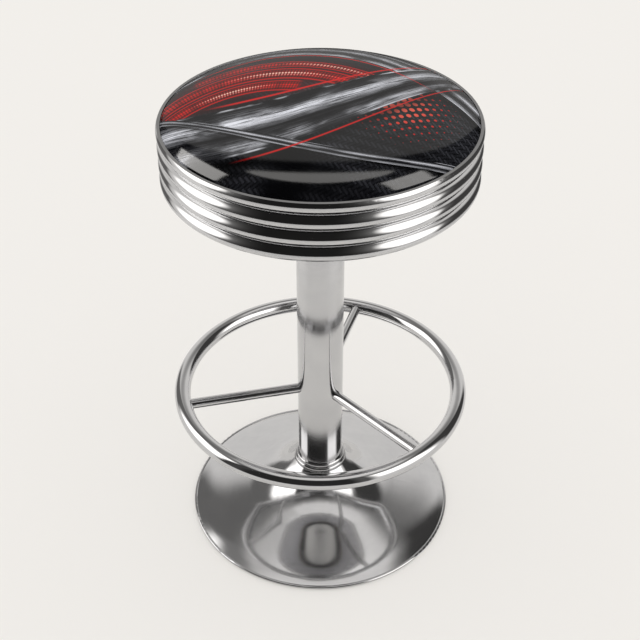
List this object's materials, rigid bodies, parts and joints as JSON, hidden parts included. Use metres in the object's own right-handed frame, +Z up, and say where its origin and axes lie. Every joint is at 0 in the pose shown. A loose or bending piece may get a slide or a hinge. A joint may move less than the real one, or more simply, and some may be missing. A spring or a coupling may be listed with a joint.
{
  "type": "bar stool",
  "caption": "Swivel bar stool: domed vinyl seat in a ribbed chrome ring, turning on a chrome column with a spoked foot ring and a flared weighted base.",
  "frame": {"origin": "on the floor, on the column's axis", "axes": "+Z up along the column, -Y towards the front of the pictured view, +X to the viewer's right"},
  "size_m": [0.4105, 0.4106, 0.6845],
  "materials": {
    "chrome": "polished chrome plate",
    "base_chrome": "spun chrome plate, slightly soft",
    "pan_steel": "satin plated sheet",
    "black_steel": "black powder coat",
    "zinc_steel": "zinc plated",
    "bearing_steel": "polished",
    "brass_cage": "plain",
    "bronze": "machined",
    "cast_iron": "black dipped",
    "rubber": "matte",
    "plywood": "unfinished",
    "foam": "open foam",
    "vinyl": "glossy printed vinyl"
  },
  "bodies": {
    "base": {"base_shell": "base_chrome", "base_weight": "cast_iron", "floor_pads": "rubber", "draw_bolt": "zinc_steel", "draw_washer": "zinc_steel", "column_foot_plug": "zinc_steel", "column_tube": "chrome", "column_collar": "chrome", "foot_ring": "chrome", "foot_spoke_left": "chrome", "foot_spoke_right": "chrome", "foot_spoke_rear": "chrome", "column_head_plug": "zinc_steel", "spindle_bush": "bronze", "swivel_lower_plate": "zinc_steel"},
    "ball_ring": {"swivel_balls": "bearing_steel", "ball_cage": "brass_cage"},
    "seat": {"swivel_upper_plate": "black_steel", "swivel_spindle": "zinc_steel", "spindle_washer": "zinc_steel", "spindle_nut": "zinc_steel", "seat_bolts": "black_steel", "bolt_washers": "black_steel", "tee_nuts": "zinc_steel", "seat_board": "plywood", "pan_spacers": "zinc_steel", "pan_screws": "chrome", "seat_pan": "pan_steel", "seat_ring": "chrome", "seat_foam": "foam", "seat_cover": "vinyl"}
  },
  "joints": [
    {"name": "seat_swivel", "type": "hinge", "parent": "base", "child": "seat", "pos_m": [0, 0, 0.56855], "axis": [0, 0, 1], "continuous": true},
    {"name": "ball_ring_orbit", "type": "hinge", "parent": "base", "child": "ball_ring", "pos_m": [0, 0, 0.56855], "axis": [0, 0, 1], "continuous": true}
  ],
  "couplings": [
    {"joint": "ball_ring_orbit", "follows": "seat_swivel", "ratio": 0.5}
  ]
}
